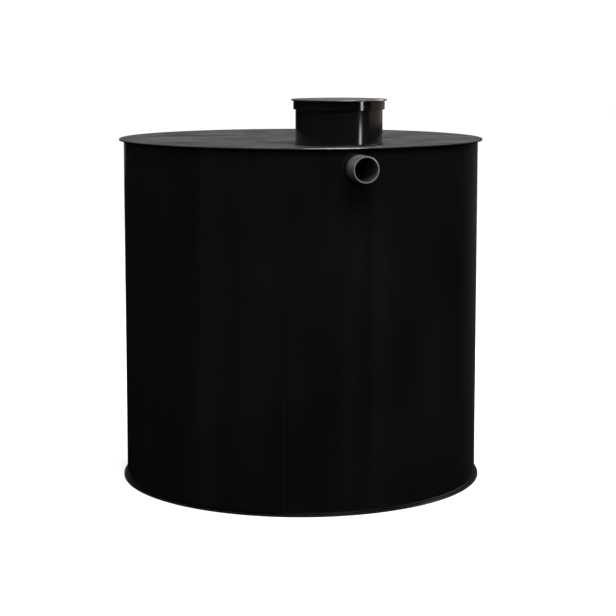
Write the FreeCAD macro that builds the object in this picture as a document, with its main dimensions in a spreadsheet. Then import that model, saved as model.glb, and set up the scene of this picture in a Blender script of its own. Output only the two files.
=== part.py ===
import FreeCAD, Part

# Upright round septic tank of welded black plastic sheet.
#
# A rolled shell stands on a bottom plate and carries a top plate. Both plates stand out past the shell
# and are joined to it with fillet welds. A short neck rises from the top plate near its edge, under a
# loose lid with a skirt. A grey inlet pipe leaves the shell just below the top plate, in line with the
# neck, and the outlet pipe leaves the opposite side a little lower.
#
# Millimetres. The origin is the centre of the underside, +Z is up and -Y points out along the inlet pipe.

import math
import os

import Sketcher

PARTS_FOLDER = "parts"

# Driving dimensions

SIZES = (
    ("body_height", 1500, "underside of the bottom plate to the top face of the top plate"),
    ("shell_outer_diameter", 1560, "rolled shell, outside"),
    ("shell_wall", 6, "shell sheet"),
    ("top_plate_thickness", 6, "top sheet"),
    ("top_plate_overhang", 20, "top plate past the shell, all round"),
    ("bottom_plate_thickness", 8, "bottom sheet"),
    ("bottom_plate_overhang", 15, "bottom plate past the shell, all round"),
    ("plate_edge_chamfer", 1, "bevel left by the router on each plate's outer edges"),
    ("plate_weld_leg", 9, "fillet weld between a plate and the shell"),
    ("seam_width", 7, "flattened bead over a vertical butt seam, across"),
    ("seam_crown", 0.8, "height of that bead over the shell"),
    ("neck_outer_diameter", 360, "neck tube, outside"),
    ("neck_wall", 5, "neck sheet"),
    ("neck_height", 180, "top plate to the neck's rim"),
    ("neck_edge_distance", 70, "neck's nearest face to the outside of the shell"),
    ("neck_rim_chamfer", 1, "bevel on the neck's rim"),
    ("neck_weld_leg", 6, "fillet weld round the neck's foot"),
    ("lid_plate_thickness", 6, "lid sheet"),
    ("lid_lip", 9, "lid plate past its skirt, all round"),
    ("lid_edge_radius", 1.5, "rounded edge of the lid plate"),
    ("lid_skirt_height", 36, "skirt below the lid plate"),
    ("lid_skirt_wall", 4, "skirt strip"),
    ("lid_side_clearance", 5, "skirt to neck, each side"),
    ("lid_seat_gap", 0.3, "lid plate over the neck's rim"),
    ("pipe_outer_diameter", 110, "pipe, outside"),
    ("pipe_wall", 6.3, "pipe wall"),
    ("pipe_reach", 95, "pipe end past the outside of the shell"),
    ("pipe_inner_reach", 50, "pipe end past the inside of the shell"),
    ("pipe_end_chamfer", 2, "bevel on the pipe's outer end"),
    ("pipe_scrape_depth", 0.6, "skin scraped off the pipe's foot so that the weld takes"),
    ("pipe_scrape_margin", 0.5, "scraped length past the weld's toe"),
    ("pipe_hole_clearance", 0.3, "shell hole round the pipe's scraped foot, each side"),
    ("pipe_weld_leg", 8, "saddle weld between pipe and shell"),
    ("inlet_cover", 28, "top face of the top plate to the top of the inlet pipe"),
    ("outlet_fall", 50, "outlet pipe below the inlet pipe"),
)

WALL_PANELS = (
    "wall_front",
    "wall_front_right",
    "wall_right",
    "wall_back_right",
    "wall_back",
    "wall_back_left",
    "wall_left",
    "wall_front_left",
)
FULL_TURN = 360
PANEL_ANGLE = FULL_TURN / len(WALL_PANELS)
FRONT = -90
UPSIDE_DOWN = FreeCAD.Rotation(FreeCAD.Vector(1, 0, 0), 180)
WELD_RIDGE = 0.62
SADDLE_ROUNDING = 0.85

# Places worked out from the sizes, as expressions of the document

SHELL_RADIUS = "(Sizes.shell_outer_diameter / 2)"
SHELL_BORE = f"({SHELL_RADIUS} - Sizes.shell_wall)"
SHELL_FOOT = "Sizes.bottom_plate_thickness"
SHELL_TOP = "(Sizes.body_height - Sizes.top_plate_thickness)"
NECK_RADIUS = "(Sizes.neck_outer_diameter / 2)"
NECK_BORE = f"({NECK_RADIUS} - Sizes.neck_wall)"
NECK_DISTANCE = f"({SHELL_RADIUS} - Sizes.neck_edge_distance - {NECK_RADIUS})"
SKIRT_BORE = f"({NECK_RADIUS} + Sizes.lid_side_clearance)"
SKIRT_RADIUS = f"({SKIRT_BORE} + Sizes.lid_skirt_wall)"
LID_UNDERSIDE = "(Sizes.body_height + Sizes.neck_height + Sizes.lid_seat_gap)"
PIPE_RADIUS = "(Sizes.pipe_outer_diameter / 2)"
PIPE_BORE = f"({PIPE_RADIUS} - Sizes.pipe_wall)"
PIPE_START = f"({SHELL_BORE} - Sizes.pipe_inner_reach)"
PIPE_LENGTH = f"({SHELL_RADIUS} + Sizes.pipe_reach - {PIPE_START})"
FOOT_RADIUS = f"({PIPE_RADIUS} - Sizes.pipe_scrape_depth)"
FOOT_LENGTH = f"({SHELL_RADIUS} + Sizes.pipe_weld_leg + Sizes.pipe_scrape_margin - {PIPE_START})"
INLET_HEIGHT = f"(Sizes.body_height - Sizes.inlet_cover - {PIPE_RADIUS})"
OUTLET_HEIGHT = f"({INLET_HEIGHT} - Sizes.outlet_fall)"

document = FreeCAD.newDocument("SepticTank")
pieces = []


def make_sheet():
    """The spreadsheet that holds every driving dimension."""
    sheet = document.addObject("Spreadsheet::Sheet", "Sizes")
    for row, (alias, number, meaning) in enumerate(SIZES, start=1):
        sheet.set(f"A{row}", meaning)
        sheet.set(f"B{row}", str(number))
        sheet.setAlias(f"B{row}", alias)
    document.recompute()
    return sheet


sheet = make_sheet()


def size(alias):
    """A driving dimension as a number."""
    return float(sheet.get(alias))


# Sketch and body helpers


def new_body(name):
    """An empty body that becomes one named piece of the tank."""
    body = document.addObject("PartDesign::Body", name)
    body.Label = name
    pieces.append(body)
    return body


def new_sketch(body, plane, name):
    """A sketch on one of the body's own origin planes."""
    sketch = body.newObject("Sketcher::SketchObject", name)
    support = next(feature for feature in body.Origin.OriginFeatures if feature.Role == plane)
    sketch.AttachmentSupport = (support, [""])
    sketch.MapMode = "FlatFace"
    return sketch


def drive(sketch, name, constraint, expression):
    """Adds a dimension to a sketch and ties it to an expression of the sizes."""
    index = sketch.addConstraint(constraint)
    sketch.renameConstraint(index, name)
    sketch.setExpression(f"Constraints.{name}", expression)


def outline(sketch, corners):
    """A closed outline of straight lines. Each corner is (x, y), both of them expressions."""
    count = len(corners)
    turn = 2 * math.pi / count
    rough = [FreeCAD.Vector(3 + math.cos(turn * k), 3 + math.sin(turn * k), 0) for k in range(count)]
    for k in range(count):
        sketch.addGeometry(Part.LineSegment(rough[k], rough[(k + 1) % count]))
    for k in range(count):
        sketch.addConstraint(Sketcher.Constraint("Coincident", k, 2, (k + 1) % count, 1))
    for k, (across, up) in enumerate(corners):
        place_point(sketch, (k, 1), f"corner{k}", rough[k], across, up)


def place_point(sketch, point, name, rough, across, up):
    """Holds one point of a sketch at (across, up) from the sketch's origin."""
    line, end = point
    drive(sketch, f"{name}_across", Sketcher.Constraint("DistanceX", -1, 1, line, end, rough.x), across)
    if up == "0":
        sketch.addConstraint(Sketcher.Constraint("PointOnObject", line, end, -1))
        return
    drive(sketch, f"{name}_up", Sketcher.Constraint("DistanceY", -1, 1, line, end, rough.y), up)


def circle(sketch, name, radius, down=None):
    """A circle round the sketch's origin, or the expression down below it."""
    start = FreeCAD.Vector(0, -1 if down else 0, 0)
    index = sketch.addGeometry(Part.Circle(start, FreeCAD.Vector(0, 0, 1), 1))
    drive(sketch, f"{name}_radius", Sketcher.Constraint("Radius", index, 1), radius)
    if down is None:
        sketch.addConstraint(Sketcher.Constraint("Coincident", index, 3, -1, 1))
        return
    sketch.addConstraint(Sketcher.Constraint("PointOnObject", index, 3, -2))
    drive(sketch, f"{name}_down", Sketcher.Constraint("DistanceY", index, 3, -1, 1, 1), down)


def pad(body, sketch, height):
    """The sketch raised by an expression."""
    feature = body.newObject("PartDesign::Pad", "Raised")
    feature.Profile = sketch
    feature.setExpression("Length", height)
    return feature


def revolve(body, sketch, angle=FULL_TURN):
    """The sketch turned about the body's Z axis, half of the angle each way."""
    feature = body.newObject("PartDesign::Revolution", "Turned")
    feature.Profile = sketch
    feature.ReferenceAxis = (sketch, ["V_Axis"])
    feature.Angle = angle
    feature.Midplane = angle < FULL_TURN
    return feature


def round_edges(shape, radii):
    """Names of a shape's level circular edges whose radius is one of radii."""
    names = []
    for number, edge in enumerate(shape.Edges, start=1):
        curve = edge.Curve
        if isinstance(curve, Part.Circle) and any(math.isclose(curve.Radius, r, abs_tol=1e-4) for r in radii):
            names.append(f"Edge{number}")
    return names


def bevel(body, feature, radii, width):
    """Chamfers the feature's circular edges of those radii by the named size."""
    document.recompute()
    cut = body.newObject("PartDesign::Chamfer", "Bevel")
    cut.Base = (feature, round_edges(feature.Shape, radii))
    cut.setExpression("Size", f"Sizes.{width}")
    return cut


def lift(body, height):
    """Sets a body at a height."""
    body.setExpression("Placement.Base.z", height)


def set_over_neck(body, height):
    """Sets a body on the neck's axis, at a height."""
    body.setExpression("Placement.Base.y", f"-{NECK_DISTANCE}")
    lift(body, height)


# Plates


def make_bottom_plate():
    body = new_body("bottom_plate")
    disc = new_sketch(body, "XY_Plane", "BottomDisc")
    circle(disc, "rim", f"{SHELL_RADIUS} + Sizes.bottom_plate_overhang")
    rim_radius = size("shell_outer_diameter") / 2 + size("bottom_plate_overhang")
    bevel(body, pad(body, disc, "Sizes.bottom_plate_thickness"), [rim_radius], "plate_edge_chamfer")


def make_top_plate():
    body = new_body("top_plate")
    disc = new_sketch(body, "XY_Plane", "TopDisc")
    circle(disc, "rim", f"{SHELL_RADIUS} + Sizes.top_plate_overhang")
    circle(disc, "manhole", NECK_BORE, NECK_DISTANCE)
    rim_radius = size("shell_outer_diameter") / 2 + size("top_plate_overhang")
    bevel(body, pad(body, disc, "Sizes.top_plate_thickness"), [rim_radius], "plate_edge_chamfer")
    lift(body, SHELL_TOP)


# Shell


def make_wall_panel(name, azimuth, hole_height=None):
    """One curved panel of the shell, with a round hole where a pipe goes through it."""
    body = new_body(name)
    section = new_sketch(body, "XZ_Plane", "WallSection")
    outline(
        section,
        (
            (SHELL_BORE, SHELL_FOOT),
            (SHELL_RADIUS, SHELL_FOOT),
            (SHELL_RADIUS, SHELL_TOP),
            (SHELL_BORE, SHELL_TOP),
        ),
    )
    revolve(body, section, PANEL_ANGLE)
    if hole_height:
        document.recompute()
        hole = new_sketch(body, "YZ_Plane", "PipeHole")
        index = hole.addGeometry(Part.Circle(FreeCAD.Vector(0, 1, 0), FreeCAD.Vector(0, 0, 1), 1))
        hole.addConstraint(Sketcher.Constraint("PointOnObject", index, 3, -2))
        drive(hole, "hole_height", Sketcher.Constraint("DistanceY", -1, 1, index, 3, 1), hole_height)
        radius = f"{FOOT_RADIUS} + Sizes.pipe_hole_clearance"
        drive(hole, "hole_radius", Sketcher.Constraint("Radius", index, 1), radius)
        pocket = body.newObject("PartDesign::Pocket", "PipeHoleCut")
        pocket.Profile = hole
        pocket.Type = "ThroughAll"
        pocket.Reversed = True
    body.Placement = FreeCAD.Placement(FreeCAD.Vector(), FreeCAD.Rotation(FreeCAD.Vector(0, 0, 1), azimuth))


def make_shell():
    holes = {"wall_front": INLET_HEIGHT, "wall_back": OUTLET_HEIGHT}
    for number, name in enumerate(WALL_PANELS):
        make_wall_panel(name, FRONT + number * PANEL_ANGLE, holes.get(name))


def make_seam(name, azimuth):
    """The flattened bead over a vertical butt seam: a thin lens on the shell, between the two ring welds."""
    body = new_body(name)
    lens = new_sketch(body, "XY_Plane", "SeamLens")
    radius = size("shell_outer_diameter") / 2
    half_width = size("seam_width") / 2
    crown = size("seam_crown") + radius - math.sqrt(radius**2 - half_width**2)
    crown_radius = (half_width**2 + crown**2) / (2 * crown)
    half_angle = math.asin(half_width / radius)
    crown_angle = math.asin(half_width / crown_radius)
    crown_centre = radius + size("seam_crown") - crown_radius
    shell_circle = Part.Circle(FreeCAD.Vector(), FreeCAD.Vector(0, 0, 1), radius)
    crown_circle = Part.Circle(FreeCAD.Vector(0, crown_centre, 0), FreeCAD.Vector(0, 0, 1), crown_radius)
    upward = math.pi / 2
    lens.addGeometry(Part.ArcOfCircle(shell_circle, upward - half_angle, upward + half_angle))
    lens.addGeometry(Part.ArcOfCircle(crown_circle, upward - crown_angle, upward + crown_angle))
    lens.addConstraint(Sketcher.Constraint("Coincident", 0, 3, -1, 1))
    lens.addConstraint(Sketcher.Constraint("Coincident", 0, 1, 1, 1))
    lens.addConstraint(Sketcher.Constraint("Coincident", 0, 2, 1, 2))
    lens.addConstraint(Sketcher.Constraint("PointOnObject", 1, 3, -2))
    drive(lens, "shell_radius", Sketcher.Constraint("Radius", 0, radius), SHELL_RADIUS)
    width = Sketcher.Constraint("DistanceX", 0, 2, 0, 1, 2 * half_width)
    drive(lens, "width", width, "Sizes.seam_width")
    chord_height = f"(Sizes.seam_crown + {SHELL_RADIUS} - sqrt({SHELL_RADIUS}^2 - (Sizes.seam_width / 2)^2))"
    crown_expression = f"((Sizes.seam_width / 2)^2 + {chord_height}^2) / (2 * {chord_height})"
    drive(lens, "crown_radius", Sketcher.Constraint("Radius", 1, crown_radius), crown_expression)
    pad(body, lens, f"{SHELL_TOP} - {SHELL_FOOT} - 2 * Sizes.plate_weld_leg")
    turn = FreeCAD.Rotation(FreeCAD.Vector(0, 0, 1), azimuth + FRONT)
    body.Placement = FreeCAD.Placement(FreeCAD.Vector(), turn)
    lift(body, f"{SHELL_FOOT} + Sizes.plate_weld_leg")


# Welds


def make_ring_weld(name, radius, leg):
    """A crowned fillet weld in the corner between an upright tube of that radius and the plate under it."""
    body = new_body(name)
    section = new_sketch(body, "XZ_Plane", "WeldSection")
    ridge = f"{leg} * {WELD_RIDGE}"
    outline(
        section,
        (
            (radius, "0"),
            (f"{radius} + {leg}", "0"),
            (f"{radius} + {ridge}", ridge),
            (radius, leg),
        ),
    )
    revolve(body, section)
    return body


def make_plate_welds():
    leg = "Sizes.plate_weld_leg"
    lift(make_ring_weld("bottom_weld", SHELL_RADIUS, leg), SHELL_FOOT)
    top = make_ring_weld("top_weld", SHELL_RADIUS, leg)
    top.Placement = FreeCAD.Placement(FreeCAD.Vector(), UPSIDE_DOWN)
    lift(top, SHELL_TOP)


# Neck and lid


def make_neck():
    body = new_body("neck")
    section = new_sketch(body, "XZ_Plane", "NeckSection")
    outline(
        section,
        (
            (NECK_BORE, "0"),
            (NECK_RADIUS, "0"),
            (NECK_RADIUS, "Sizes.neck_height - Sizes.neck_rim_chamfer"),
            (f"{NECK_RADIUS} - Sizes.neck_rim_chamfer", "Sizes.neck_height"),
            (f"{NECK_BORE} + Sizes.neck_rim_chamfer", "Sizes.neck_height"),
            (NECK_BORE, "Sizes.neck_height - Sizes.neck_rim_chamfer"),
        ),
    )
    revolve(body, section)
    set_over_neck(body, "Sizes.body_height")
    weld = make_ring_weld("neck_weld", NECK_RADIUS, "Sizes.neck_weld_leg")
    set_over_neck(weld, "Sizes.body_height")


def make_lid():
    plate = new_body("lid_plate")
    disc = new_sketch(plate, "XY_Plane", "LidDisc")
    circle(disc, "rim", f"{SKIRT_RADIUS} + Sizes.lid_lip")
    sheet_disc = pad(plate, disc, "Sizes.lid_plate_thickness")
    document.recompute()
    rounding = plate.newObject("PartDesign::Fillet", "RoundedRim")
    rounding.Base = (sheet_disc, [f"Edge{n}" for n, e in enumerate(sheet_disc.Shape.Edges, 1) if e.isClosed()])
    rounding.setExpression("Radius", "Sizes.lid_edge_radius")
    set_over_neck(plate, LID_UNDERSIDE)

    skirt = new_body("lid_skirt")
    section = new_sketch(skirt, "XZ_Plane", "SkirtSection")
    outline(
        section,
        (
            (SKIRT_BORE, "0"),
            (SKIRT_RADIUS, "0"),
            (SKIRT_RADIUS, "Sizes.lid_skirt_height"),
            (SKIRT_BORE, "Sizes.lid_skirt_height"),
        ),
    )
    revolve(skirt, section)
    set_over_neck(skirt, f"{LID_UNDERSIDE} - Sizes.lid_skirt_height")


# Pipes


def make_pipe(name, height, side):
    """A pipe through the shell. side is -1 for a pipe that leaves along -Y and 1 along +Y."""
    body = new_body(name)
    section = new_sketch(body, "XZ_Plane", "PipeSection")
    outline(
        section,
        (
            (PIPE_BORE, "0"),
            (FOOT_RADIUS, "0"),
            (FOOT_RADIUS, FOOT_LENGTH),
            (PIPE_RADIUS, FOOT_LENGTH),
            (PIPE_RADIUS, f"{PIPE_LENGTH} - Sizes.pipe_end_chamfer"),
            (f"{PIPE_RADIUS} - Sizes.pipe_end_chamfer", PIPE_LENGTH),
            (PIPE_BORE, PIPE_LENGTH),
        ),
    )
    revolve(body, section)
    body.Placement = FreeCAD.Placement(FreeCAD.Vector(), turn_to_side(side))
    body.setExpression("Placement.Base.y", f"{side} * {PIPE_START}")
    lift(body, height)


def turn_to_side(side):
    """Turns a piece made along +Z so that it points along -Y or +Y."""
    return FreeCAD.Rotation(FreeCAD.Vector(1, 0, 0), -side * 90)


def add_cylinder(name, radius, length, place):
    """A plain cylinder used to shape a saddle weld."""
    cylinder = document.addObject("Part::Cylinder", name)
    cylinder.Placement = place
    cylinder.setExpression("Radius", radius)
    cylinder.setExpression("Height", length)
    return cylinder


def add_cut(name, base, tool):
    """Base with tool taken away."""
    cut = document.addObject("Part::Cut", name)
    cut.Base = base
    cut.Tool = tool
    return cut


def make_saddle_weld(name, height, side):
    """The weld where a pipe meets the round shell: a collar on both curved faces with its outer edge rounded."""
    along = FreeCAD.Placement(FreeCAD.Vector(), turn_to_side(side))
    upright = FreeCAD.Placement()
    leg = "Sizes.pipe_weld_leg"
    far = f"{SHELL_RADIUS} + 2 * {leg}"
    collar = add_cylinder(f"{name}_collar", f"{PIPE_RADIUS} + {leg}", far, along)
    bore = add_cylinder(f"{name}_bore", FOOT_RADIUS, far, along)
    for cylinder in (collar, bore):
        cylinder.setExpression("Placement.Base.z", height)
    skin = add_cylinder(f"{name}_skin", f"{SHELL_RADIUS} + {leg}", "Sizes.body_height", upright)
    shell = add_cylinder(f"{name}_shell", SHELL_RADIUS, "Sizes.body_height", upright)
    saddle = document.addObject("Part::Common", f"{name}_saddle")
    saddle.Base = add_cut(f"{name}_sleeve", collar, bore)
    saddle.Tool = add_cut(f"{name}_layer", skin, shell)
    document.recompute()

    outer_edges = []
    pipe_height = saddle.Shape.BoundBox.Center.z
    collar_radius = collar.Radius.Value
    for number, edge in enumerate(saddle.Shape.Edges, start=1):
        point = edge.valueAt((edge.FirstParameter + edge.LastParameter) / 2)
        from_pipe = math.hypot(point.x, point.z - pipe_height)
        from_axis = math.hypot(point.x, point.y)
        on_collar = math.isclose(from_pipe, collar_radius, abs_tol=0.01)
        if on_collar and math.isclose(from_axis, skin.Radius.Value, abs_tol=0.01):
            outer_edges.append(number)
    weld = document.addObject("Part::Fillet", name)
    weld.Label = name
    weld.Base = saddle
    rounding = SADDLE_ROUNDING * size("pipe_weld_leg")
    weld.Edges = [(number, rounding, rounding) for number in outer_edges]
    pieces.append(weld)


def make_pipes():
    for end, height, side in (("inlet", INLET_HEIGHT, -1), ("outlet", OUTLET_HEIGHT, 1)):
        make_pipe(f"{end}_pipe", height, side)
        make_saddle_weld(f"{end}_weld", height, side)


def write_pieces():
    """Stops on a failed object or a bad solid, then writes each piece to its own file."""
    document.recompute()
    failed = [o.Label for o in document.Objects if "Invalid" in o.State or "Error" in o.State]
    if failed:
        raise RuntimeError(f"failed objects: {failed}")
    for piece in pieces:
        if piece.Shape.isNull() or not piece.Shape.isValid() or not piece.Shape.Solids:
            raise RuntimeError(f"{piece.Label} has no valid solid")
    os.makedirs(PARTS_FOLDER, exist_ok=True)
    for piece in pieces:
        piece.Shape.exportStep(os.path.join(PARTS_FOLDER, f"{piece.Label}.step"))


make_bottom_plate()
make_shell()
make_seam("inlet_side_seam", FRONT - PANEL_ANGLE / 2)
make_seam("outlet_side_seam", FRONT + (FULL_TURN - PANEL_ANGLE) / 2)
make_top_plate()
make_plate_welds()
make_neck()
make_lid()
make_pipes()
write_pieces()
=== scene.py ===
import math

import bmesh
import bpy
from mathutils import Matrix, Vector, noise


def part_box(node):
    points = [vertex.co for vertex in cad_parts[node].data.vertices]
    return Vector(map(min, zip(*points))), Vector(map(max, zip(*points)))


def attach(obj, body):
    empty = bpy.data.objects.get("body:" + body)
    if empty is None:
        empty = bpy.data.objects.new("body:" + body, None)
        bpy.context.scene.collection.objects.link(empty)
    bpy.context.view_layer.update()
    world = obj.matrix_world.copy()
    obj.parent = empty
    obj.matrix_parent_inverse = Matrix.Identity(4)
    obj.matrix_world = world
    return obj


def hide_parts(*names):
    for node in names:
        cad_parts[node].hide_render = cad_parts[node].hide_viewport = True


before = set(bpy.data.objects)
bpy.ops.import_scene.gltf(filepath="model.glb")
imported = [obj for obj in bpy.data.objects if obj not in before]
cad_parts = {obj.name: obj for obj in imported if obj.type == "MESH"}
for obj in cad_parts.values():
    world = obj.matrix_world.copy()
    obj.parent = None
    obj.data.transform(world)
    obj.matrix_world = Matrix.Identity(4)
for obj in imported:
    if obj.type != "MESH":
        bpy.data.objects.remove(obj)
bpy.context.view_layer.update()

# Places of the tank, read from the fixed frame (metres)

WALLS = (
    "wall_front",
    "wall_front_right",
    "wall_right",
    "wall_back_right",
    "wall_back",
    "wall_back_left",
    "wall_left",
    "wall_front_left",
)
CENTRE = (0, 0)
SHELL_RADIUS = round(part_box("wall_right")[1].x, 4)
SHELL_WALL = 0.006
SHELL_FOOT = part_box("wall_right")[0].z
SHELL_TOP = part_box("wall_right")[1].z
PLATE_WELD_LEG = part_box("bottom_weld")[1].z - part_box("bottom_weld")[0].z
TOP_LOW, TOP_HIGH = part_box("top_plate")
BOTTOM_LOW, BOTTOM_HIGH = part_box("bottom_plate")

NECK_LOW, NECK_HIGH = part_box("neck")
NECK_RADIUS = round((NECK_HIGH.y - NECK_LOW.y) / 2, 4)
NECK_CENTRE = (0.0, (NECK_HIGH.y + NECK_LOW.y) / 2)
NECK_WALL = 0.005
NECK_WELD_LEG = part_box("neck_weld")[1].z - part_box("neck_weld")[0].z

SKIRT_LOW, SKIRT_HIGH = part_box("lid_skirt")
SKIRT_RADIUS = round((SKIRT_HIGH.y - SKIRT_LOW.y) / 2, 4)
SKIRT_WALL = 0.004
LID_LOW, LID_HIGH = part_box("lid_plate")
LID_RADIUS = round((LID_HIGH.y - LID_LOW.y) / 2, 4)

PIPE_RADIUS = round(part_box("inlet_pipe")[1].x, 4)
PIPE_WALL = 0.0063
PIPE_SCRAPE = 0.0006
PIPE_FOOT = PIPE_RADIUS - PIPE_SCRAPE
PIPE_WELD_LEG = 0.008
HOLE_GAP = 0.0003
HOLE_RADIUS = PIPE_FOOT + HOLE_GAP
PIPE_ENDS = (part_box("inlet_pipe")[0].y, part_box("inlet_pipe")[1].y)
INLET_HEIGHT = (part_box("inlet_pipe")[0].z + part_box("inlet_pipe")[1].z) / 2
OUTLET_HEIGHT = (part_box("outlet_pipe")[0].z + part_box("outlet_pipe")[1].z) / 2

FRONT = -math.pi / 2
BACK = math.pi / 2
SEAM_ANGLES = (math.radians(-112.5), math.radians(67.5))


# Mesh helpers

SHARP_ANGLE = math.radians(22)


def add_piece(name, vertices, faces, material, body, nodes):
    """A closed smooth mesh that rides on a body and stands for the named CAD nodes."""
    mesh = bpy.data.meshes.new(name)
    mesh.from_pydata(vertices, [], faces)
    shape = bmesh.new()
    shape.from_mesh(mesh)
    bmesh.ops.recalc_face_normals(shape, faces=shape.faces)
    shape.to_mesh(mesh)
    shape.free()
    mesh.shade_smooth()
    mesh.set_sharp_from_angle(angle=SHARP_ANGLE)
    mesh.materials.append(material)
    piece = bpy.data.objects.new(name, mesh)
    bpy.context.collection.objects.link(piece)
    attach(piece, body)
    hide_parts(*nodes)
    return piece


def joined(first, second, rows):
    """Faces between two closed rows of points, given the number of each row's first point."""
    return [
        (first + row, first + (row + 1) % rows, second + (row + 1) % rows, second + row)
        for row in range(rows)
    ]


def turned(profile, segments, place):
    """A closed profile of (radius, along) points turned about an axis.

    place(radius, along, angle) gives each point.
    """
    rows = len(profile)
    vertices, faces = [], []
    for turn in range(segments):
        angle = 2 * math.pi * turn / segments
        vertices += [place(radius, along, angle) for radius, along in profile]
        faces += joined(turn * rows, (turn + 1) % segments * rows, rows)
    return vertices, faces


def ladder(low, high, steps):
    """Evenly spaced numbers from low to high."""
    return [low + (high - low) * step / steps for step in range(steps + 1)]


def wander(x, y, z, size, seed):
    """Smooth noise from -1 to 1 that changes over about size metres."""
    return noise.noise(Vector((x / size + seed, y / size - seed, z / size + 2 * seed)))


# Shell: one rolled sheet wall with its pipe holes, slightly uneven as such sheet is

SHELL_COLUMNS = 240
SHELL_ROWS = 60
DENT_DEPTH = 0.0009
DENT_FADE = 0.08  # height over which the dents die out towards each plate
PATCH_REACH = 4  # grid columns beside a pipe hole, and rows over it, that its own faces take up
PATCH_ROWS = 7  # all the rows that they take up
HOLE_RINGS = 3


def wall_dent(angle, height):
    """How far the sheet lies inside its true radius: long soft waves, none at the plates."""
    x, y = math.cos(angle), math.sin(angle)
    long_wave = wander(x, y, height / 2.2, size=0.45, seed=3.1)
    short_wave = wander(x, y, height, size=0.16, seed=8.4)
    wave = 0.6 * long_wave + 0.4 * short_wave
    ends = min(1.0, (height - SHELL_FOOT) / DENT_FADE, (SHELL_TOP - height) / DENT_FADE)
    return DENT_DEPTH * (0.5 - 0.5 * wave) * max(0.0, ends)


def wall_point(angle, height, inward=0.0):
    """A point on the shell's outer face, or that far inside it."""
    radius = SHELL_RADIUS - inward - wall_dent(angle, height)
    return (radius * math.cos(angle), radius * math.sin(angle), height)


def hole_patch(centre, hole_height, heights):
    """The block of grid cells that a pipe hole's own faces take up: left, right, low and high."""
    middle = round(centre / (2 * math.pi) * SHELL_COLUMNS) % SHELL_COLUMNS
    nearest = min(range(SHELL_ROWS + 1), key=lambda row: abs(heights[row] - hole_height))
    high = min(SHELL_ROWS, nearest + PATCH_REACH)
    return middle - PATCH_REACH, middle + PATCH_REACH, high - PATCH_ROWS, high


def make_shell(material):
    """The wall's outer and inner face, a grid each, with rings of faces round the pipe holes."""
    heights = ladder(SHELL_FOOT, SHELL_TOP, SHELL_ROWS)
    sides = (0.0, SHELL_WALL)
    holes = ((FRONT, INLET_HEIGHT), (BACK, OUTLET_HEIGHT))
    patches = [hole_patch(*hole, heights) for hole in holes]
    # index has each point's number, by (side, column, row) or by (side, hole, spot, ring)
    vertices, faces, index = [], [], {}

    def put(key, point):
        index[key] = len(vertices)
        vertices.append(point)

    def join(*keys):
        faces.append(tuple(index[key] for key in keys))

    def taken(column, row):
        return any(
            left <= column < right and low <= row < high for left, right, low, high in patches
        )

    for side, inward in enumerate(sides):
        for column in range(SHELL_COLUMNS):
            angle = 2 * math.pi * column / SHELL_COLUMNS
            for row, height in enumerate(heights):
                put((side, column, row), wall_point(angle, height, inward))

    for side in (0, 1):
        for column in range(SHELL_COLUMNS):
            after = (column + 1) % SHELL_COLUMNS
            for row in range(SHELL_ROWS):
                if not taken(column, row):
                    lower = ((side, column, row), (side, after, row))
                    join(*lower, (side, after, row + 1), (side, column, row + 1))
    for column in range(SHELL_COLUMNS):
        after = (column + 1) % SHELL_COLUMNS
        for row in (0, SHELL_ROWS):
            join((0, column, row), (0, after, row), (1, after, row), (1, column, row))

    for hole, ((centre, hole_height), (left, right, low, high)) in enumerate(zip(holes, patches)):
        border = [(column, low) for column in range(left, right)]
        border += [(right, row) for row in range(low, high)]
        border += [(column, high) for column in range(right, left, -1)]
        border += [(left, row) for row in range(high, low, -1)]
        spots = len(border)
        for side, inward in enumerate(sides):
            radius = SHELL_RADIUS - inward
            for spot, (column, row) in enumerate(border):
                across = radius * math.sin(2 * math.pi * column / SHELL_COLUMNS - centre)
                up = heights[row] - hole_height
                reach = math.hypot(across, up)
                for ring in range(HOLE_RINGS):
                    share = ring / HOLE_RINGS
                    distance = HOLE_RADIUS + (reach - HOLE_RADIUS) * share
                    offset = distance * across / reach
                    height = hole_height + distance * up / reach
                    angle = centre + math.asin(offset / radius)
                    put((side, hole, spot, ring), wall_point(angle, height, inward))
                edge = index[side, column % SHELL_COLUMNS, row]
                index[side, hole, spot, HOLE_RINGS] = edge
            for spot in range(spots):
                after = (spot + 1) % spots
                for ring in range(HOLE_RINGS):
                    inner = ((side, hole, spot, ring), (side, hole, after, ring))
                    join(*inner, (side, hole, after, ring + 1), (side, hole, spot, ring + 1))
        for spot in range(spots):
            after = (spot + 1) % spots
            join((0, hole, spot, 0), (0, hole, after, 0), (1, hole, after, 0), (1, hole, spot, 0))
    return add_piece("shell", vertices, faces, material, "tank", WALLS)


SEAM_STEPS = 700
SEAM_HALF_WIDTH = 0.0045
SEAM_CROWN = 0.0011
SEAM_DRIFT = 0.0006
SEAM_RIPPLE_PITCH = 0.011
SEAM_SPREAD = (-1.0, -0.7, -0.3, 0.3, 0.7, 1.0)  # points across the bead, in half widths
SEAM_SINK = 0.0001  # how far the bead's edges lie in the sheet
SEAM_ROOT = 0.002  # how far the bead's hidden middle lies in the sheet


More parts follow.
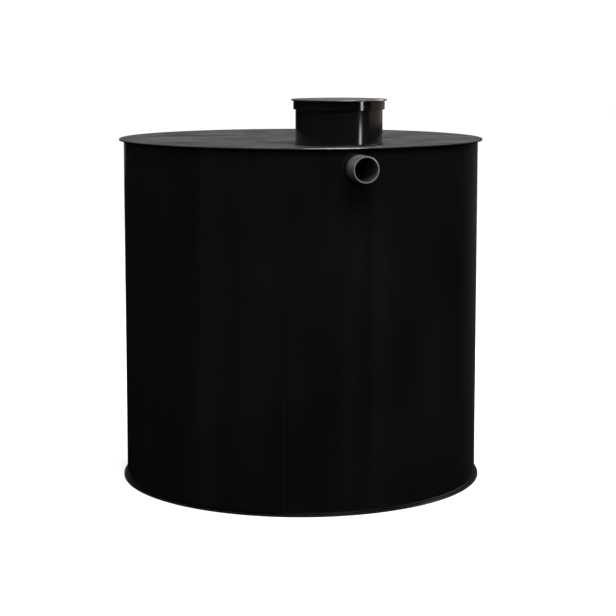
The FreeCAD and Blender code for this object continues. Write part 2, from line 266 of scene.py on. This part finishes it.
def make_seam(name, angle, material):
    """The flat bead over a butt seam, with the slight wander and ripple of a hand-held welder."""
    heights = ladder(SHELL_FOOT + PLATE_WELD_LEG, SHELL_TOP - PLATE_WELD_LEG, SEAM_STEPS)
    rows = len(SEAM_SPREAD) + 1
    vertices, faces = [], []
    for height in heights:
        drift = SEAM_DRIFT * wander(0, 0, height, size=0.11, seed=5.0 + angle)
        waves = math.sin(height / SEAM_RIPPLE_PITCH * 2 * math.pi)
        ripple = 1.0 + 0.06 * waves + 0.15 * wander(0, 0, height, size=0.03, seed=1.7)
        for share in SEAM_SPREAD:
            spot = angle + (drift + share * SEAM_HALF_WIDTH) / SHELL_RADIUS
            rise = SEAM_CROWN * ripple * (1 - share * share) - SEAM_SINK
            x, y, z = wall_point(spot, height)
            scale = (math.hypot(x, y) + rise) / math.hypot(x, y)
            vertices.append((x * scale, y * scale, z))
        vertices.append(wall_point(angle + drift / SHELL_RADIUS, height, SEAM_ROOT))
    for step in range(SEAM_STEPS):
        faces += joined(step * rows, (step + 1) * rows, rows)
    faces.append(tuple(range(rows)))
    faces.append(tuple(range(SEAM_STEPS * rows, (SEAM_STEPS + 1) * rows)))
    return add_piece(name, vertices, faces, material, "tank", [name])


# Weld beads

BEAD_STEPS = 7
BEAD_POWER = 1.25  # over 1 makes the bead's face flatter than a quarter circle
BEAD = [
    (math.cos(t) ** BEAD_POWER, math.sin(t) ** BEAD_POWER)
    for t in ladder(0, math.pi / 2, BEAD_STEPS)
]
PLATE_WELD_SEGMENTS = 3000
NECK_WELD_SEGMENTS = 800
SADDLE_SEGMENTS = 320
WELD_SINK = 0.0012  # how far a ring weld's root lies in its tube
SADDLE_SINK = 0.001  # how far a saddle weld's root lies in the shell


def bead_leg(leg, x, y, z, run, seed):
    """The leg of a hand-laid bead at a point and at its distance along the bead."""
    pitch = leg * 0.8
    phase = 3 * wander(x, y, z, size=0.05, seed=seed)
    ripple = 0.03 * math.sin(run / pitch * 2 * math.pi + phase)
    return leg * (0.92 + ripple + 0.08 * wander(x, y, z, size=0.1, seed=seed + 4.0))


def make_ring_weld(name, centre, tube_radius, height, upward, leg, material, segments):
    """A bead in the corner between an upright tube and a level plate."""
    rise = 1 if upward else -1
    seed = leg * 900

    def place(outward, up, angle):
        x, y = tube_radius * math.cos(angle), tube_radius * math.sin(angle)
        size = bead_leg(leg, x, y, height, angle * tube_radius, seed)
        radius = tube_radius - WELD_SINK + outward * size
        return (
            centre[0] + radius * math.cos(angle),
            centre[1] + radius * math.sin(angle),
            height + rise * up * size,
        )

    vertices, faces = turned([(0.0, 0.0)] + BEAD, segments, place)
    return add_piece(name, vertices, faces, material, "tank", [name])


def make_saddle_weld(name, height, side, material):
    """The bead where a pipe meets the round shell."""
    seed = 40 + side

    def place(outward, off_shell, angle):
        here = (PIPE_FOOT * math.cos(angle), side, PIPE_FOOT * math.sin(angle))
        size = bead_leg(PIPE_WELD_LEG, *here, angle * PIPE_FOOT, seed)
        radius = PIPE_FOOT + outward * size
        x = radius * math.cos(angle)
        distance = SHELL_RADIUS - SADDLE_SINK + off_shell * (size + SADDLE_SINK)
        return (x, side * math.sqrt(distance**2 - x**2), height + radius * math.sin(angle))

    vertices, faces = turned([(0.0, 0.0)] + BEAD, SADDLE_SEGMENTS, place)
    return add_piece(name, vertices, faces, material, "tank", [name])


# Plates

DISC_SEGMENTS = 240
DISC_RINGS = 14
EDGE_BAND = 0.004
SCRAPED = 0.0026  # height of the bevel on a plate's upper corner, and its depth as a share of that
SCRAPED_SHARE = 0.52
WORN = 0.0005  # the small bevel on its lower corner
HUB_SHARE = 0.1


def disc_profile(inner, outer, low, high):
    """A plate's section from its underside to its top face, with its scraped upper corner."""
    rings = ladder(inner, outer - EDGE_BAND, DISC_RINGS)
    return (
        [(radius, low) for radius in rings]
        + [(outer - WORN, low), (outer, low + WORN)]
        + [(outer, high - SCRAPED), (outer - SCRAPED_SHARE * SCRAPED, high)]
        + [(radius, high) for radius in reversed(rings)]
    )


def make_disc(name, centre, outer, low, high, material, body, hole=None):
    """A round plate, whole or with a round hole that may sit off its centre.

    A whole one has a flat hub, which one face on each side closes.
    """
    hole_centre, inner = hole or (centre, outer * HUB_SHARE)
    profile = disc_profile(inner, outer, low, high)
    rows = len(profile)

    def place(radius, along, angle):
        share = min(1.0, (radius - inner) / (outer - EDGE_BAND - inner))
        x = centre[0] * share + hole_centre[0] * (1 - share) + radius * math.cos(angle)
        y = centre[1] * share + hole_centre[1] * (1 - share) + radius * math.sin(angle)
        return (x, y, along)

    vertices, faces = turned(profile, DISC_SEGMENTS, place)
    if hole is None:
        ends = (0, rows - 1)
        faces = [face for face in faces if {face[0] % rows, face[1] % rows} != set(ends)]
        faces += [tuple(turn * rows + row for turn in range(DISC_SEGMENTS)) for row in ends]
    return add_piece(name, vertices, faces, material, body, [name])


# Neck, lid and pipes

TUBE_SEGMENTS = 200
NECK_STEPS, SKIRT_STEPS = 14, 6
NECK_BEVEL, SKIRT_BEVEL = 0.001, 0.0006
NECK_UNEVENNESS, SKIRT_UNEVENNESS = 0.0006, 0.0005

PIPE_SEGMENTS = 128
PIPE_STEPS, BORE_STEPS = 5, 6
PIPE_BEVEL = 0.002
PIPE_BURR = 0.0005  # the small bevel inside its mouth
SHOULDER_GAP = 0.0005  # from the pipe's weld to where its full diameter starts
SHOULDER_BAND = 0.004


def rolled(centre, unevenness, seed):
    """place() for a rolled sheet tube that stands upright, slightly out of round."""

    def place(radius, along, angle):
        x, y = math.cos(angle), math.sin(angle)
        long_wave = wander(x, y, along * 2.0, size=0.7, seed=seed)
        short_wave = wander(x, y, along * 3.0, size=0.25, seed=seed + 2.0)
        soft = long_wave + 0.5 * short_wave
        here = radius - unevenness * (0.75 + 0.5 * soft)
        return (centre[0] + here * x, centre[1] + here * y, along)

    return place


def tube_profile(inner, outer, low, high, edge, steps):
    """A tube wall's outline with small bevels on its four corners."""
    return (
        [(outer, along) for along in ladder(low + edge, high - edge, steps)]
        + [(outer - edge, high), (inner + edge, high)]
        + [(inner, along) for along in ladder(high - edge, low + edge, steps)]
        + [(inner + edge, low), (outer - edge, low)]
    )


def make_neck(material):
    low, high = NECK_LOW.z, NECK_HIGH.z
    inner = NECK_RADIUS - NECK_WALL
    profile = tube_profile(inner, NECK_RADIUS, low, high, NECK_BEVEL, NECK_STEPS)
    place = rolled(NECK_CENTRE, NECK_UNEVENNESS, seed=2.3)
    vertices, faces = turned(profile, TUBE_SEGMENTS, place)
    return add_piece("neck", vertices, faces, material, "tank", ["neck"])


def make_lid(skirt_material, plate_material):
    """The lid's skirt and its plate."""
    low, high = SKIRT_LOW.z, SKIRT_HIGH.z
    inner = SKIRT_RADIUS - SKIRT_WALL
    profile = tube_profile(inner, SKIRT_RADIUS, low, high, SKIRT_BEVEL, SKIRT_STEPS)
    place = rolled(NECK_CENTRE, SKIRT_UNEVENNESS, seed=6.1)
    vertices, faces = turned(profile, TUBE_SEGMENTS, place)
    body, slot = "lid", "lid_black"
    low, high = LID_LOW.z, LID_HIGH.z
    return (
        add_piece("lid_skirt", vertices, faces, skirt_material, body, ["lid_skirt"]),
        make_disc("lid_plate", NECK_CENTRE, LID_RADIUS, low, high, plate_material, body),
    )


def make_pipe(name, height, side, material):
    """A pipe along Y with its scraped foot, bevelled outer end and square-cut inner end."""
    mouth, inner_end = abs(PIPE_ENDS[0]), abs(PIPE_ENDS[1])
    bore = PIPE_RADIUS - PIPE_WALL
    shoulder = SHELL_RADIUS + PIPE_WELD_LEG + SHOULDER_GAP
    outside = ladder(shoulder + SHOULDER_BAND, mouth - PIPE_BEVEL, PIPE_STEPS)
    inside = ladder(mouth - PIPE_BURR, inner_end, BORE_STEPS)
    profile = [(PIPE_FOOT, inner_end), (PIPE_FOOT, shoulder), (PIPE_RADIUS, shoulder)]
    profile += [(PIPE_RADIUS, along) for along in outside]
    profile += [(PIPE_RADIUS - PIPE_BEVEL, mouth), (bore + PIPE_BURR, mouth)]
    profile += [(bore, along) for along in inside]

    def place(radius, along, angle):
        return (radius * math.cos(angle), side * along, height + radius * math.sin(angle))

    vertices, faces = turned(profile, PIPE_SEGMENTS, place)
    return add_piece(name, vertices, faces, material, "tank", [name])


# Nodes


class Graph:
    """Adds and links the nodes of a tree. A value is a number, a colour or a node's socket."""

    def __init__(self, tree):
        self.tree = tree

    def add(self, kind, **settings):
        node = self.tree.nodes.new(kind)
        for key, value in settings.items():
            setattr(node, key, value)
        return node

    def feed(self, socket, value):
        if isinstance(value, bpy.types.NodeSocket):
            self.tree.links.new(value, socket)
        elif isinstance(value, tuple):
            socket.default_value = (*value, 1.0)
        else:
            socket.default_value = value

    def spread(self, value, low, high, to_low=0.0, to_high=1.0):
        """Maps low..high to to_low..to_high, clamped."""
        node = self.add("ShaderNodeMapRange", clamp=True)
        for socket, number in zip(node.inputs, (value, low, high, to_low, to_high)):
            self.feed(socket, number)
        return node.outputs["Result"]

    def mix(self, share, first, second, blend="MIX"):
        """A colour between two."""
        node = self.add("ShaderNodeMix", data_type="RGBA", blend_type=blend)
        self.feed(node.inputs["Factor"], share)
        self.feed(node.inputs[6], first)
        self.feed(node.inputs[7], second)
        return node.outputs[2]

    def math(self, operation, first, second):
        """A number worked out from two values."""
        node = self.add("ShaderNodeMath", operation=operation)
        self.feed(node.inputs[0], first)
        self.feed(node.inputs[1], second)
        return node.outputs["Value"]


class Sheet(Graph):
    """One material. Its textures use object coordinates, which are the tank's own metres."""

    def __init__(self, name):
        self.material = bpy.data.materials.new(name)
        self.material.use_nodes = True
        super().__init__(self.material.node_tree)
        self.shader = self.tree.nodes["Principled BSDF"]
        self.place = self.add("ShaderNodeTexCoord").outputs["Object"]

    def noise(self, scale, detail=4.0, roughness=0.55, distortion=0.0):
        """Noise with a scale for each axis."""
        stretched = self.add("ShaderNodeMapping")
        stretched.inputs["Scale"].default_value = scale
        self.feed(stretched.inputs["Vector"], self.place)
        node = self.add("ShaderNodeTexNoise")
        node.inputs["Scale"].default_value = 1.0
        node.inputs["Detail"].default_value = detail
        node.inputs["Roughness"].default_value = roughness
        node.inputs["Distortion"].default_value = distortion
        self.feed(node.inputs["Vector"], stretched.outputs["Vector"])
        return node.outputs["Fac"]

    def facing(self, axis, low, high):
        """0 to 1 as the true surface turns to face along an axis, either way."""
        normal = self.add("ShaderNodeSeparateXYZ")
        self.feed(normal.inputs["Vector"], self.add("ShaderNodeNewGeometry").outputs["True Normal"])
        return self.spread(self.math("ABSOLUTE", normal.outputs[axis], 0.0), low, high)

    def bump(self, height, distance, strength, under=None):
        """A bumped normal, over another one if that is given."""
        node = self.add("ShaderNodeBump")
        self.feed(node.inputs["Strength"], strength)
        self.feed(node.inputs["Distance"], distance)
        self.feed(node.inputs["Height"], height)
        if under is not None:
            self.feed(node.inputs["Normal"], under)
        return node.outputs["Normal"]

    def finish(self, colour, roughness, normal, specular):
        self.feed(self.shader.inputs["Base Color"], colour)
        self.feed(self.shader.inputs["Roughness"], roughness)
        self.feed(self.shader.inputs["Normal"], normal)
        self.feed(self.shader.inputs["Specular IOR Level"], specular)
        return self.material


# Materials: colours first, a dark and a pale one for each sheet that varies between two

SHELL_BLACK = ((0.0027, 0.0027, 0.0028), (0.0049, 0.0049, 0.0054))
PLATE_DUST = ((0.003, 0.003, 0.0032), (0.053, 0.053, 0.058))
PLATE_EDGE = (0.004, 0.004, 0.004)
# The bottom plate's blacks are painted darker than the shell's, as painted shade; its corner colour
# is a painted highlight
FOOT_SHADED_BLACK = ((0.0009, 0.0009, 0.0009), (0.0034, 0.0031, 0.0029))
FOOT_CORNER_HIGHLIGHT = (0.010, 0.0097, 0.0094)
SKIRT_BLACK = ((0.0016, 0.0014, 0.0012), (0.0040, 0.0034, 0.0030))
# The lid's pale colour is dust on its top and a painted highlight on its rim's bevel
LID_DUST_AND_RIM_HIGHLIGHT = ((0.034, 0.0335, 0.033), (0.062, 0.061, 0.059))
LID_EDGE = (0.004, 0.0037, 0.0035)
PIPE_GREY = ((0.030, 0.030, 0.031), (0.078, 0.078, 0.081))
PIPE_CUT = ((0.085, 0.085, 0.086), (0.150, 0.150, 0.150))
PLASTIC_SPECULAR = 0.5


def shell_material():
    """Glossy black sheet: faint upright streaks, soft unevenness, fine handling scratches."""
    n = Sheet("shell_gloss")
    streaks = n.noise((9, 9, 0.7), 5)
    clouds = n.noise((2.4, 2.4, 1.6), 3)
    tone = n.spread(n.math("MULTIPLY", streaks, clouds), 0.15, 0.42)
    colour = n.mix(tone, *SHELL_BLACK)
    roughness = n.spread(streaks, 0.3, 0.75, 0.07, 0.17)
    waves = n.bump(n.noise((5, 5, 1.6), 2), 0.003, 0.2)
    scratches = n.bump(n.noise((260, 260, 12), 3), 0.0002, 0.06, waves)
    return n.finish(colour, roughness, scratches, PLASTIC_SPECULAR)


def plate_material():
    """Scuffed sheet with dust on its flat faces and a dark, clean edge."""
    n = Sheet("plate_scuffed")
    blotches = n.noise((3.5, 5.5, 4.5), 5, 0.6)
    wipes = n.noise((7, 30, 12), 7, 0.72, 0.3)
    specks = n.noise((64, 64, 64), 3, 0.6)
    wiped, specked = n.math("MULTIPLY", wipes, 0.65), n.math("MULTIPLY", specks, 0.35)
    marks = n.math("ADD", wiped, specked)
    tone = n.spread(n.math("ADD", n.math("MULTIPLY", blotches, 0.45), marks), 0.63, 0.82)
    level = n.facing("Z", 0.75, 0.95)
    colour = n.mix(level, PLATE_EDGE, n.mix(tone, *PLATE_DUST))
    base = n.spread(level, 0, 1, 0.11, 0.24)
    roughness = n.math("ADD", base, n.spread(marks, 0.38, 0.62, 0.0, 0.26))
    waves = n.bump(n.noise((5, 11, 6), 4), 0.006, n.math("MULTIPLY", level, 0.6))
    scuffs = n.noise((22, 240, 60), 4, 0.65)
    scratches = n.bump(scuffs, 0.0004, n.math("MULTIPLY", level, 0.3), waves)
    return n.finish(colour, roughness, scratches, PLASTIC_SPECULAR)


def foot_material():
    """The bottom plate's black sheet, painted darker than the shell's as painted shade, with a
    trace of earth, and a paler upper corner that is a painted highlight line along its edge.
    """
    n = Sheet("foot_sheet")
    specks = n.noise((30, 30, 30), 6, 0.7)
    sheet = n.mix(n.spread(specks, 0.45, 0.7), *FOOT_SHADED_BLACK)
    # The upper bevel's band: its paler colour, the mask named scraped, is a painted highlight line
    # along the edge, broken by specks
    corner = n.math("SUBTRACT", n.facing("Z", 0.3, 0.4), n.facing("Z", 0.6, 0.7))
    scraped = n.math("MULTIPLY", corner, n.spread(specks, 0.3, 0.5, 0.4, 1.0))
    colour = n.mix(scraped, sheet, FOOT_CORNER_HIGHLIGHT)
    roughness = n.spread(specks, 0.3, 0.7, 0.16, 0.32)
    return n.finish(colour, roughness, n.bump(n.noise((60, 60, 60), 4, 0.65), 0.0003, 0.2), 0.3)


def skirt_material():
    """Black sheet, glossy, with a little dust."""
    n = Sheet("lid_skirt_sheet")
    blotches = n.noise((9, 9, 9), 6, 0.6)
    colour = n.mix(n.spread(blotches, 0.35, 0.68), *SKIRT_BLACK)
    roughness = n.spread(blotches, 0.3, 0.7, 0.06, 0.13)
    waves = n.bump(n.noise((40, 40, 6), 3), 0.0003, 0.1)
    return n.finish(colour, roughness, waves, PLASTIC_SPECULAR)


def lid_material():
    """The lid's plate: pale dust on its top, the same pale colour on its rim's bevel as a painted
    highlight, and dark at the upright edge.
    """
    n = Sheet("lid_top_sheet")
    blotches = n.noise((12, 26, 12), 6, 0.65)
    # level also takes in part of the rim's bevel, where the pale colour is a painted highlight
    level = n.facing("Z", 0.3, 0.57)
    colour = n.mix(level, LID_EDGE, n.mix(n.spread(blotches, 0.32, 0.7), *LID_DUST_AND_RIM_HIGHLIGHT))
    base = n.spread(level, 0, 1, 0.14, 0.34)
    roughness = n.math("ADD", base, n.spread(blotches, 0.3, 0.7, 0.0, 0.15))
    scratches = n.bump(n.noise((60, 300, 60), 4, 0.65), 0.0002, 0.2)
    return n.finish(colour, roughness, scratches, PLASTIC_SPECULAR)


def weld_material(name, dark, pale, smooth, rough, specular):
    """Extruded black bead between two greys and two roughnesses."""
    n = Sheet(name)
    grain = n.noise((90, 90, 90), 5, 0.6)
    colour = n.mix(grain, (dark, dark, dark), (pale, pale, pale))
    roughness = n.spread(grain, 0.3, 0.7, smooth, rough)
    return n.finish(colour, roughness, n.bump(grain, 0.0006, 0.4), specular)


def pipe_material():
    """Grey drain pipe with faint lines along it and a slightly paler cut mouth."""
    n = Sheet("pipe_grey")
    lines = n.noise((160, 5, 160), 4, 0.6)
    blotches = n.noise((30, 18, 30), 5, 0.6)
    tone = n.spread(n.math("MULTIPLY", lines, blotches), 0.15, 0.4)
    cut = n.facing("Y", 0.75, 0.95)
    colour = n.mix(cut, n.mix(tone, *PIPE_GREY), n.mix(blotches, *PIPE_CUT))
    roughness = n.spread(blotches, 0.3, 0.7, 0.22, 0.38)
    return n.finish(colour, roughness, n.bump(lines, 0.0003, 0.3), PLASTIC_SPECULAR)


# The tank

SHELL = shell_material()
PLATE = plate_material()
WELD = weld_material("weld_bead", 0.0018, 0.0058, 0.26, 0.46, 0.08)
# The welds at the plates take a darker copy of the bead's black, as painted shade
SHADED_PLATE_WELD = weld_material("plate_weld_painted_shade", 0.0004, 0.0014, 0.14, 0.24, 0.04)
PIPE = pipe_material()

MANHOLE = (NECK_CENTRE, NECK_RADIUS - NECK_WALL)
make_disc(
    "top_plate", CENTRE, TOP_HIGH.x, TOP_LOW.z, TOP_HIGH.z, PLATE, "tank", MANHOLE
)
FOOT_PLATE = make_disc(
    "bottom_plate",
    CENTRE,
    BOTTOM_HIGH.x,
    BOTTOM_LOW.z,
    BOTTOM_HIGH.z,
    foot_material(),
    "tank",
)
make_shell(SHELL)
make_seam("inlet_side_seam", SEAM_ANGLES[0], WELD)
make_seam("outlet_side_seam", SEAM_ANGLES[1], WELD)
FOOT_WELD = make_ring_weld(
    "bottom_weld",
    CENTRE,
    SHELL_RADIUS,
    SHELL_FOOT,
    True,
    PLATE_WELD_LEG,
    SHADED_PLATE_WELD,
    PLATE_WELD_SEGMENTS,
)
make_ring_weld(
    "top_weld",
    CENTRE,
    SHELL_RADIUS,
    SHELL_TOP,
    False,
    PLATE_WELD_LEG,
    SHADED_PLATE_WELD,
    PLATE_WELD_SEGMENTS,
)
make_ring_weld(
    "neck_weld",
    NECK_CENTRE,
    NECK_RADIUS,
    NECK_LOW.z,
    True,
    NECK_WELD_LEG,
    WELD,
    NECK_WELD_SEGMENTS,
)
LID = make_lid(skirt_material(), lid_material())
FITTINGS = (
    make_neck(SHELL),
    make_pipe("inlet_pipe", INLET_HEIGHT, -1, PIPE),
    make_pipe("outlet_pipe", OUTLET_HEIGHT, 1, PIPE),
)
make_saddle_weld("inlet_weld", INLET_HEIGHT, -1, WELD)
make_saddle_weld("outlet_weld", OUTLET_HEIGHT, 1, WELD)


# Floor, light and camera

FLOOR_HALF = 40
WHITE = (1.0, 1.0, 1.0)
WARM = (1.0, 0.84, 0.71)


def make_floor():
    """A wide matt floor that neither lights the tank nor shows in its gloss."""
    mesh = bpy.data.meshes.new("floor")
    corners = [
        (-FLOOR_HALF, -FLOOR_HALF, 0),
        (FLOOR_HALF, -FLOOR_HALF, 0),
        (FLOOR_HALF, FLOOR_HALF, 0),
        (-FLOOR_HALF, FLOOR_HALF, 0),
    ]
    mesh.from_pydata(corners, [], [(0, 1, 2, 3)])
    floor = bpy.data.objects.new("floor", mesh)
    bpy.context.collection.objects.link(floor)
    n = Sheet("pale_floor")
    n.feed(n.shader.inputs["Base Color"], (0.86, 0.86, 0.86))
    n.feed(n.shader.inputs["Roughness"], 0.9)
    n.feed(n.shader.inputs["Specular IOR Level"], 0.0)
    mesh.materials.append(n.material)
    floor.visible_glossy = False
    floor.visible_diffuse = False


# What gloss mirrors at each azimuth: below the horizon, for upright faces
LOW_GLOW = (
    (-180, (0.006, 0.006, 0.006)),
    (-100, (0.008, 0.008, 0.009)),
    (-88, (0.012, 0.012, 0.014)),
    (-78, (0.038, 0.039, 0.050)),
    (-68, (0.012, 0.012, 0.014)),
    (20, (0.012, 0.012, 0.012)),
    (110, (0.010, 0.010, 0.010)),
    (142, (0.060, 0.058, 0.056)),
    (158, (0.015, 0.015, 0.015)),
    (180, (0.006, 0.006, 0.006)),
)
# A pale strip behind the tank, just under the horizon, which its left edge mirrors near the top
REAR_GLOW = (
    (-180, (0.20, 0.20, 0.20)),
    (-177, (0.06, 0.06, 0.06)),
    (-172, (0.0, 0.0, 0.0)),
    (162, (0.0, 0.0, 0.0)),
    (168, (0.28, 0.28, 0.28)),
    (180, (0.20, 0.20, 0.20)),
)
# Above the horizon, for edges and flat faces
HIGH_GLOW = (
    (-180, (0.17, 0.17, 0.175)),
    (-140, (0.05, 0.05, 0.05)),
    (30, (0.10, 0.10, 0.10)),
    (60, (0.22, 0.21, 0.20)),
    (110, (0.22, 0.21, 0.19)),
    (140, (0.17, 0.17, 0.18)),
    (180, (0.17, 0.17, 0.175)),
)
BLACK = (0.0, 0.0, 0.0)
SKY = (1.18, 1.18, 1.18)  # all that the camera sees of the room, and its light from above
GROUND = (0.1, 0.1, 0.1)  # its light from below


def make_world():
    """White to the camera and the floor. To gloss it is a dim room, so black stays black."""
    world = bpy.data.worlds.new("room")
    bpy.context.scene.world = world
    world.use_nodes = True
    world.cycles.sampling_method = "NONE"
    n = Graph(world.node_tree)

    way = n.add("ShaderNodeSeparateXYZ")
    n.feed(way.inputs["Vector"], n.add("ShaderNodeTexCoord").outputs["Generated"])
    south = n.math("MULTIPLY", way.outputs["Y"], -1)
    position = n.spread(n.math("ARCTAN2", way.outputs["X"], south), -math.pi, math.pi)

    def ramp(stops):
        """The colours of a glow, by azimuth."""
        node = n.add("ShaderNodeValToRGB")
        elements = node.color_ramp.elements
        for azimuth, _ in stops[1:-1]:
            elements.new(azimuth / 360 + 0.5)
        for element, (azimuth, colour) in zip(elements, stops):
            element.position = azimuth / 360 + 0.5
            element.color = (*colour, 1)
        n.feed(node.inputs["Fac"], position)
        return node.outputs["Color"]

    def rise(low, high, to_low=0.0):
        """A number that grows to 1 as the ray's slope goes from low to high."""
        return n.spread(way.outputs["Z"], low, high, to_low, 1.0)

    low_glow = n.mix(rise(-0.26, -0.08, 0.3), BLACK, ramp(LOW_GLOW))
    low_glow = n.mix(rise(-0.078, -0.062), low_glow, ramp(REAR_GLOW), "ADD")
    mirrored = n.mix(rise(0.0, 0.1), low_glow, ramp(HIGH_GLOW))
    rays = n.add("ShaderNodeLightPath")
    seen = n.mix(rays.outputs["Is Diffuse Ray"], SKY, n.mix(rise(-0.01, 0.01), GROUND, SKY))
    lit = n.mix(rays.outputs["Is Glossy Ray"], seen, mirrored)
    n.feed(n.tree.nodes["Background"].inputs["Color"], lit)


# Lamps: the point that each stands round, its azimuth (0 is the inlet's side), distance and height,
# the height over the point that it aims at, its width and length, and its brightness
OVERHEAD = (CENTRE, 0, 0.01, 6.0, 0.0, (5.0, 5.0), 5.0)
FRONT_KEY = (CENTRE, 8, 4.2, 5.7, 1.5, (3.0, 1.5), 22.0)
LID_STRIP = (NECK_CENTRE, 37, 1.5, 1.68, 1.68, (0.14, 0.52), 10.0)
NECK_STRIP = (NECK_CENTRE, 37, 1.5, 1.40, 1.40, (0.14, 0.24), 11.0)
WARM_CARD = (NECK_CENTRE, 100, 1.4, 1.82, 1.82, (2.0, 0.6), 0.3)
SIDE_LAMP = (CENTRE, 98, 3.0, 3.4, 1.5, (1.2, 1.6), 16.0)
FOOT_CARD = (CENTRE, 86, 3.2, 3.0, 0.0, (3.6, 3.8), 3.6)


def add_light(name, lamp_row, colour=WHITE, only=None, mirrored=True):
    """A soft panel, which may light only some pieces and stay out of their gloss."""
    about, azimuth, distance, height, aim, (width, length), brightness = lamp_row
    turn = math.radians(azimuth)
    light = bpy.data.lights.new(name, "AREA")
    light.shape = "RECTANGLE"
    light.size, light.size_y = width, length
    light.energy = brightness * math.pi * width * length
    light.color = colour
    lamp = bpy.data.objects.new(name, light)
    lamp.location = (
        about[0] + math.sin(turn) * distance,
        about[1] - math.cos(turn) * distance,
        height,
    )
    way = Vector((*about, aim)) - lamp.location
    lamp.rotation_euler = way.to_track_quat("-Z", "Y").to_euler()
    lamp.visible_camera = False
    lamp.visible_glossy = mirrored
    if only:
        lit = bpy.data.collections.new(name)
        for piece in only:
            lit.objects.link(piece)
        lamp.light_linking.receiver_collection = lit
    bpy.context.collection.objects.link(lamp)


def make_lights(lid, fittings, foot):
    """Two soft lamps for the whole tank, and from the right five for some of its pieces."""
    add_light("overhead", OVERHEAD, mirrored=False)
    add_light("front_key", FRONT_KEY)
    add_light("lid_strip", LID_STRIP, only=lid)
    add_light("neck_strip", NECK_STRIP, only=fittings)
    add_light("warm_card", WARM_CARD, WARM, lid + fittings)
    add_light("side_lamp", SIDE_LAMP, WARM, lid + fittings)
    add_light("foot_card", FOOT_CARD, only=foot)


def make_camera():
    """The photograph's view: 17.2 degrees left of the inlet, 1.91 m up, looking slightly down."""
    azimuth, distance, height = math.radians(-17.247), 7.5351, 1.9072
    pitch, turn = math.radians(6.752), math.radians(0.242)
    data = bpy.data.cameras.new("camera")
    data.sensor_width = 36
    data.lens = 99.5
    data.shift_y = -0.10
    camera = bpy.data.objects.new("camera", data)
    camera.location = (math.sin(azimuth) * distance, -math.cos(azimuth) * distance, height)
    camera.rotation_euler = (math.pi / 2 - pitch, 0, azimuth - turn)
    bpy.context.collection.objects.link(camera)
    bpy.context.scene.camera = camera


make_floor()
make_world()
make_lights(LID, FITTINGS, (FOOT_PLATE, FOOT_WELD))
make_camera()
bpy.context.scene.view_settings.view_transform = "Standard"
